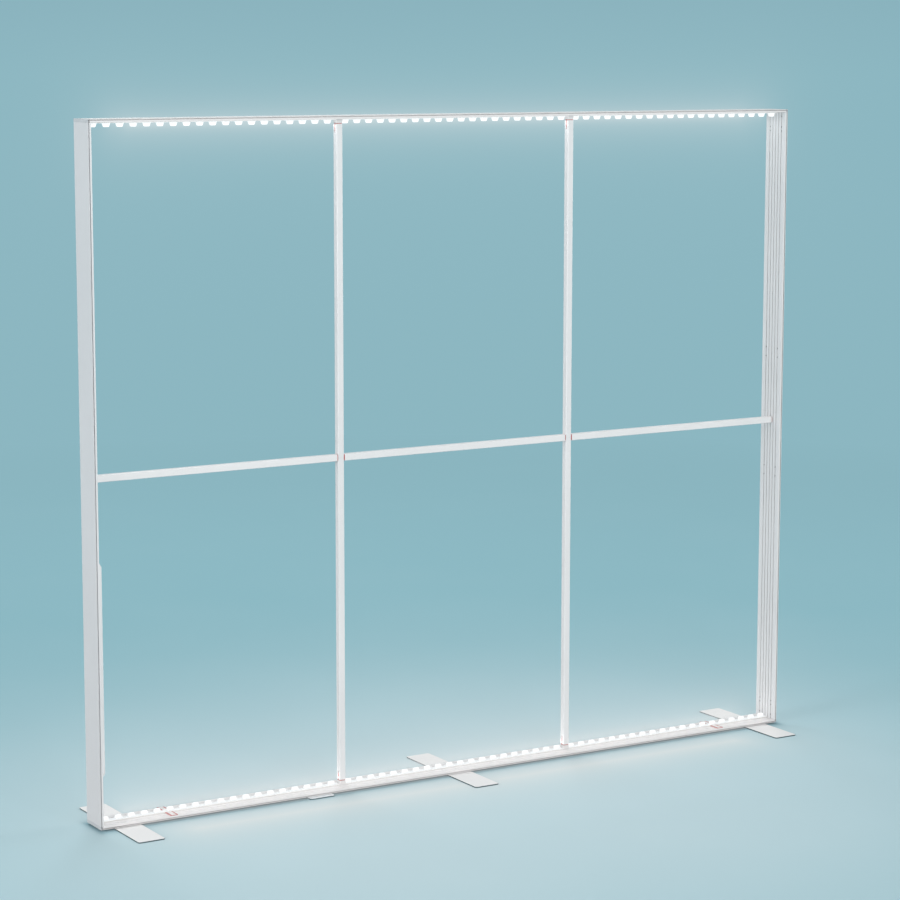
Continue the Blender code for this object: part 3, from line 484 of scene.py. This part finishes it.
def lens_row(side, level):
    """One row of lenses on its strip, in place of the CAD row, with the share of glow in the layer core."""
    node = "%s_lens_row_%s" % (level, side)
    low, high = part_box(node)
    up = 1 if level == "bottom" else -1
    base = low.z if up > 0 else high.z
    strip = base + up * STRIP_THICKNESS * MM
    count = LENS_COUNTS[side]
    middle = (low.x + high.x) / 2 - LENS_SHIFTS[side]
    reach = (high.x - low.x) / 2 - LENS_END_GAPS[side] - LENS_HALF
    bm = bmesh.new()
    core = bm.verts.layers.float.new("core")
    ends = [[(x, v * MM, base + up * w * MM) for v, w in STRIP_PROFILE] for x in (low.x, high.x)]
    made = skin(bm, ends, 1)
    bm.faces.new(list(reversed(made[0]))).material_index = 1
    for index in range(count):
        x = middle + reach * (2 * index / (count - 1) - 1)
        rings = []
        for height, half_u, half_v, radius, glow in LENS_RINGS:
            loop = rounded_loop(half_u * MM, half_v * MM, radius * MM)
            rings.append([(x + u, v, strip + up * height * MM) for u, v in loop])
        made = skin(bm, rings, 0, cap=False)
        for ring, (_, _, _, _, glow) in zip(made, LENS_RINGS):
            for vert in ring:
                vert[core] = glow
        tip = bm.verts.new((x, 0, strip + up * LENS_TIP * MM))
        tip[core] = 1.0
        last = made[-1]
        for i in range(len(last)):
            bm.faces.new((last[i], last[(i + 1) % len(last)], tip))
    obj = piece("lenses_%s_%s" % (level, side), bm, [mats["lens_" + level], mats["strip_" + level]])
    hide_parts(node)


# ---------------------------------------------------------------- studs in the posts
def stud_heights():
    joint = POST_JOINT + FRAME_LOW
    near = (STUD_REACH - STUD_HALF_PITCH, STUD_REACH + STUD_HALF_PITCH)
    ends = [FRAME_LOW + end for end in STUD_ENDS] + [FRAME_HIGH - end for end in STUD_ENDS]
    return ends + [joint - reach for reach in near] + [joint + reach for reach in near]


def stud_heads(side):
    """The round heads that fill the posts' holes, from the floor of the grooves."""
    sign = 1 if side == "right" else -1
    floor = sign * (INNER_SIDE + STUD_FLOOR * MM)
    bm = bmesh.new()
    for z in stud_heights():
        for y in (-STUD_ROW, STUD_ROW):
            rings = []
            for lift, radius in STUD_RINGS:
                ring = []
                for step in range(STUD_SIDES):
                    angle = 2 * pi * step / STUD_SIDES
                    ring.append((floor - sign * lift * MM, y + radius * MM * cos(angle), z + radius * MM * sin(angle)))
                rings.append(ring)
            skin(bm, rings)
    piece("stud_heads_" + side, bm, [mats["stud"]])


# ---------------------------------------------------------------- feed bridges
def bridge_covers(side):
    """A pale cover with grip ribs on each half of the bridge, between its two red sides."""
    x = BRIDGE_X * (1 if side == "right" else -1)
    low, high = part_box("feed_bridge_" + side)
    bm = bmesh.new()
    half_u, half_v = COVER_HALF_SIZE[0] * MM, COVER_HALF_SIZE[1] * MM
    rib_u, rib_v = RIB_HALF_SIZE[0] * MM, RIB_HALF_SIZE[1] * MM
    for sign in (-1, 1):
        centre = sign * COVER_MIDDLE * MM
        rings = []
        for lift, inset in COVER_RINGS:
            loop = rounded_loop(half_u - inset * MM, half_v - inset * MM, COVER_CORNER * MM)
            rings.append([(x + u, centre + v, high.z + lift * MM) for u, v in loop])
        skin(bm, rings)
        for rib in range(RIB_COUNT):
            v0 = centre + sign * (RIB_FIRST + RIB_PITCH * rib) * MM
            rings = []
            for lift, inset in RIB_RINGS:
                loop = rounded_loop(rib_u - inset * MM, rib_v - inset * MM, RIB_CORNER * MM, 3)
                rings.append([(x + u, v0 + v, high.z + lift * MM) for u, v in loop])
            skin(bm, rings)
    piece("feed_bridge_covers_" + side, bm, [mats["panel"]])


# ---------------------------------------------------------------- stage
def from_segment(p, half, middle, flat=False):
    """Distance from a line along X that reaches half to both sides of its middle, with flat in X and Z alone."""
    place = p.add("ShaderNodeSeparateXYZ", {0: p.place}).outputs
    ends = {"Min": middle[0] - half, "Max": middle[0] + half}
    clamped = p.add("ShaderNodeClamp", {"Value": place["X"], **ends}).outputs[0]
    across = place["Y"] if flat else middle[1]
    nearest = p.add("ShaderNodeCombineXYZ", {"X": clamped, "Y": across, "Z": middle[2]}).outputs[0]
    return p.add("ShaderNodeVectorMath", {0: p.place, 1: nearest}, operation="DISTANCE").outputs["Value"]


def fading(p, distance, reach, power):
    """1 at no distance, falling towards 0 past the reach."""
    scaled = p.math("POWER", p.math("DIVIDE", distance, reach), power)
    return p.math("POWER", 2.718, p.math("MULTIPLY", scaled, -1.0))


def pool(p, half, middle, reach, power, strength):
    return p.math("MULTIPLY", fading(p, from_segment(p, half, middle), reach, power), strength)


def flat_stage(name, points, material):
    """A flat face that belongs to the stage and not to the object."""
    bm = bmesh.new()
    bm.faces.new([bm.verts.new(point) for point in points])
    mesh = bpy.data.meshes.new(name)
    bm.to_mesh(mesh)
    bm.free()
    mesh.materials.append(material)
    obj = bpy.data.objects.new(name, mesh)
    bpy.context.scene.collection.objects.link(obj)
    return obj


def build_haze():
    """The soft glow in the air round the two lit rows, seen but casting nothing."""
    p = Paint("glow_in_air")
    haze = None
    for level, strength in ((INNER_BOTTOM + GLOW_LIFT, GLOW_LOW), (INNER_TOP - GLOW_LIFT, GLOW_HIGH)):
        distance = from_segment(p, GLOW_REACH, (0, 0, level), flat=True)
        glow = p.math("MULTIPLY", fading(p, distance, GLOW_NEAR_REACH, 1.0), strength)
        for part in (GLOW_WIDE, GLOW_TIGHT):
            more = p.math("MULTIPLY", fading(p, distance, part["reach"], part["power"]), part["strength"])
            glow = p.math("ADD", glow, more)
        haze = glow if haze is None else p.math("ADD", haze, glow)
    clear = p.add("ShaderNodeBsdfTransparent").outputs[0]
    light = p.add("ShaderNodeEmission", {"Color": GLOW_COLOUR, "Strength": 1.0}).outputs[0]
    mix = p.add("ShaderNodeMixShader", {0: haze, 1: clear, 2: light})
    p.tree.links.new(mix.outputs[0], p.tree.nodes["Material Output"].inputs["Surface"])
    half = CARD_HALF_WIDTH
    for name, y in GLOW_CARDS:
        corners = [(-half, y, CARD_LOW), (half, y, CARD_LOW), (half, y, CARD_HIGH), (-half, y, CARD_HIGH)]
        card = flat_stage(name, corners, p.material)
        card.visible_diffuse = False
        card.visible_glossy = False
        card.visible_transmission = False
        card.visible_shadow = False


def wall_shade(p):
    """1 right under the wall and beside the feet's edges, and 0 on the open floor."""
    place = p.add("ShaderNodeSeparateXYZ", {0: p.place}).outputs
    ahead = p.math("MAXIMUM", p.math("SUBTRACT", p.math("ABSOLUTE", place["Y"]), WALL_HALF_DEPTH), 0.0)
    aside = p.math("MAXIMUM", p.math("SUBTRACT", p.math("ABSOLUTE", place["X"]), WALL_HALF_WIDTH), 0.0)
    aside = p.math("MULTIPLY", aside, UNDER_SQUEEZE)
    gap = p.math("SQRT", p.math("ADD", p.math("POWER", ahead, 2.0), p.math("POWER", aside, 2.0)))
    under = fading(p, gap, UNDER_REACH, UNDER_POWER)
    beside = p.math("SUBTRACT", 1.0, p.open_air(BESIDE_REACH, 0.05, 0.95, 0.35))
    return p.math("MAXIMUM", under, beside)


def build_stage():
    """The plain floor, with the pool of light under the wall, fading into the backdrop far away."""
    p = Paint("pale_floor")
    mottle = p.span(p.noise(0.9, 3.0), 0.3, 0.7, -MOTTLE, MOTTLE)
    # Painted light: the floor's colour is lightened in a wide and a close pool round the wall
    shown = p.blend(p.math("ADD", pool(p, **WIDE_POOL), mottle), FLOOR, FLOOR_LIT)
    shown = p.blend(pool(p, **CLOSE_POOL), shown, FLOOR_NEAR)
    # Painted shade: the floor's colour is darkened right under the wall and beside the feet's edges
    under_shade = p.blend(wall_shade(p), (1.0, 1.0, 1.0), UNDER_SHADE_COLOUR)
    shown = p.add("ShaderNodeVectorMath", {0: shown, 1: under_shade}, operation="MULTIPLY").outputs[0]
    seen = p.add("ShaderNodeLightPath").outputs["Is Camera Ray"]
    p.set("Base Color", p.blend(seen, FLOOR_BOUNCE, shown))
    p.shader.inputs["Roughness"].default_value = 0.9
    p.shader.inputs["Specular IOR Level"].default_value = 0.0
    far = p.add("ShaderNodeEmission", {"Color": BACKDROP, "Strength": 1.0}).outputs[0]
    distance = p.add("ShaderNodeVectorMath", {0: p.place}, operation="LENGTH").outputs["Value"]
    mix = p.add("ShaderNodeMixShader", {0: p.span(distance, *FLOOR_FADE), 1: p.shader.outputs[0], 2: far})
    p.tree.links.new(mix.outputs[0], p.tree.nodes["Material Output"].inputs["Surface"])
    angles = [2 * pi * i / FLOOR_CORNERS for i in range(FLOOR_CORNERS)]
    flat_stage("floor", [(FLOOR_RADIUS * cos(a), FLOOR_RADIUS * sin(a), 0) for a in angles], p.material)


def build_world():
    """Even light from all round, and the backdrop's colour where the camera, a mirror or a lens looks at it."""
    world = bpy.data.worlds.new("studio")
    bpy.context.scene.world = world
    world.use_nodes = True
    tree = world.node_tree
    shown = tree.nodes["Background"]
    light = tree.nodes.new("ShaderNodeBackground")
    light.inputs["Color"].default_value = (*AMBIENT, 1.0)
    light.inputs["Strength"].default_value = AMBIENT_STRENGTH
    coord = tree.nodes.new("ShaderNodeTexCoord")
    split = tree.nodes.new("ShaderNodeSeparateXYZ")
    tree.links.new(coord.outputs["Generated"], split.inputs[0])
    ramp = tree.nodes.new("ShaderNodeMapRange")
    ramp.inputs["From Min"].default_value = HORIZON[0]
    ramp.inputs["From Max"].default_value = HORIZON[1]
    tree.links.new(split.outputs["Z"], ramp.inputs["Value"])
    tone = tree.nodes.new("ShaderNodeMix")
    tone.data_type = "RGBA"
    tone.inputs[6].default_value = (*BACKDROP, 1.0)
    tone.inputs[7].default_value = (*BACKDROP_HIGH, 1.0)
    tree.links.new(ramp.outputs[0], tone.inputs[0])
    tree.links.new(tone.outputs[2], shown.inputs["Color"])
    path = tree.nodes.new("ShaderNodeLightPath")
    seen = tree.nodes.new("ShaderNodeMath")
    seen.operation = "MAXIMUM"
    tree.links.new(path.outputs["Is Camera Ray"], seen.inputs[0])
    tree.links.new(path.outputs["Is Glossy Ray"], seen.inputs[1])
    either = tree.nodes.new("ShaderNodeMath")
    either.operation = "MAXIMUM"
    tree.links.new(seen.outputs[0], either.inputs[0])
    tree.links.new(path.outputs["Is Transmission Ray"], either.inputs[1])
    mix = tree.nodes.new("ShaderNodeMixShader")
    tree.links.new(either.outputs[0], mix.inputs[0])
    tree.links.new(light.outputs[0], mix.inputs[1])
    tree.links.new(shown.outputs[0], mix.inputs[2])
    tree.links.new(mix.outputs[0], tree.nodes["World Output"].inputs["Surface"])


def lamp(name, place, target, size, power):
    data = bpy.data.lights.new(name, "AREA")
    data.shape = "RECTANGLE"
    data.size, data.size_y = size
    data.energy = power
    obj = bpy.data.objects.new(name, data)
    obj.location = place
    obj.rotation_mode = "QUATERNION"
    obj.rotation_quaternion = (Vector(target) - Vector(place)).to_track_quat("-Z", "Y")
    bpy.context.scene.collection.objects.link(obj)
    return obj


def row_lamp(name, place, turn, width, power):
    """A long lamp along a lit row, turned about X from facing down."""
    row = lamp(name, place, (0, 0, 1.2), (ROW_LENGTH, width), power)
    row.rotation_mode = "XYZ"
    row.rotation_euler = (turn, 0.0, 0.0)
    row.visible_camera = False
    row.visible_glossy = False


def build_light():
    for name, place, target, size, power in LAMPS:
        lamp(name, place, target, size, power)
    # What the two lit rows throw on the posts, poles and rails beside them
    for name, level, turn in (("row_low", INNER_BOTTOM + ROW_LIFT, pi), ("row_high", INNER_TOP - ROW_LIFT, 0.0)):
        row_lamp(name, (0, 0, level), turn, ROW_WIDTH, ROW_WATTS)
    for name, level in (("side_low", INNER_BOTTOM + GLOW_LIFT), ("side_high", INNER_TOP - GLOW_LIFT)):
        for side, y, turn in (("front", -ROW_SIDE_PLACE, -pi / 2), ("back", ROW_SIDE_PLACE, pi / 2)):
            row_lamp(name + "_" + side, (0, y, level), turn, ROW_SIDE_WIDTH, ROW_SIDE_WATTS)


def build_camera():
    data = bpy.data.cameras.new("camera")
    data.sensor_width = CAMERA_SENSOR
    data.lens = CAMERA_LENS
    data.clip_end = CAMERA_REACH
    camera = bpy.data.objects.new("camera", data)
    camera.location = CAMERA_PLACE
    camera.rotation_euler = CAMERA_TURN
    bpy.context.scene.collection.objects.link(camera)
    bpy.context.scene.camera = camera


dress_nodes()
for level in ("bottom", "top"):
    for side in SIDES:
        lens_row(side, level)
for side in ("left", "right"):
    stud_heads(side)
    bridge_covers(side)
build_stage()
build_haze()
build_world()
build_light()
build_camera()
bpy.context.scene.view_settings.view_transform = "Standard"
